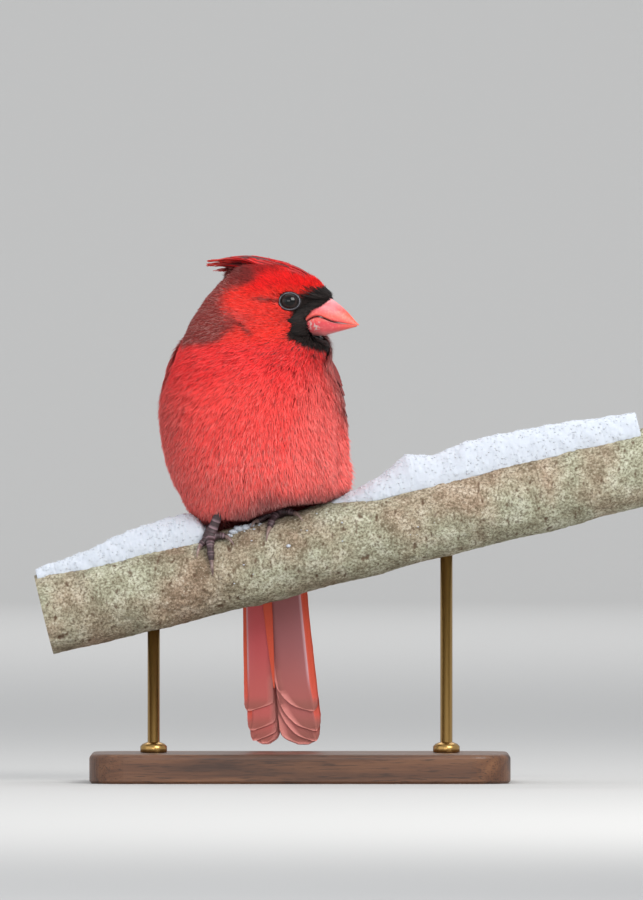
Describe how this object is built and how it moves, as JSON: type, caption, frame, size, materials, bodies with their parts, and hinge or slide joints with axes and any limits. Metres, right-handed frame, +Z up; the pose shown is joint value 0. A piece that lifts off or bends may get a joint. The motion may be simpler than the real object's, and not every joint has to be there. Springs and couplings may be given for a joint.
{
  "type": "northern cardinal",
  "caption": "Life-size male northern cardinal on a cut length of snowy branch, body square to the viewer and head in profile, on a plain wooden plinth with brass rods.",
  "frame": {"origin": "centre of the plinth's underside", "axes": "+Z up; -Y is where the bird's breast looks; +X is where its bill points and the longer side of the branch lies"},
  "size_m": [0.2579, 0.1003, 0.2168],
  "materials": {
    "plumage": "matte red feathers",
    "wing": "matte dusky red feathers",
    "tail": "matte dull red feathers",
    "bill": "satin coral",
    "eye": "polished black",
    "leg": "scaly, dull",
    "bark": "rough pale grey bark",
    "snow": "fine white grains",
    "plinth": "satin dark wood",
    "rod": "satin"
  },
  "bodies": {
    "root": {"head": "plumage", "neck": "plumage", "torso": "plumage", "bill_upper": "bill", "bill_lower": "bill", "eye_right": "eye", "eye_left": "eye", "wing_right": "wing", "wing_left": "wing", "tail": "tail", "leg_right": "leg", "leg_left": "leg", "foot_right": "leg", "foot_left": "leg", "perch_branch": "bark", "perch_snow_left": "snow", "perch_snow_right": "snow", "stand_plinth": "plinth", "stand_rod_left": "rod", "stand_rod_right": "rod"}
  },
  "joints": []
}
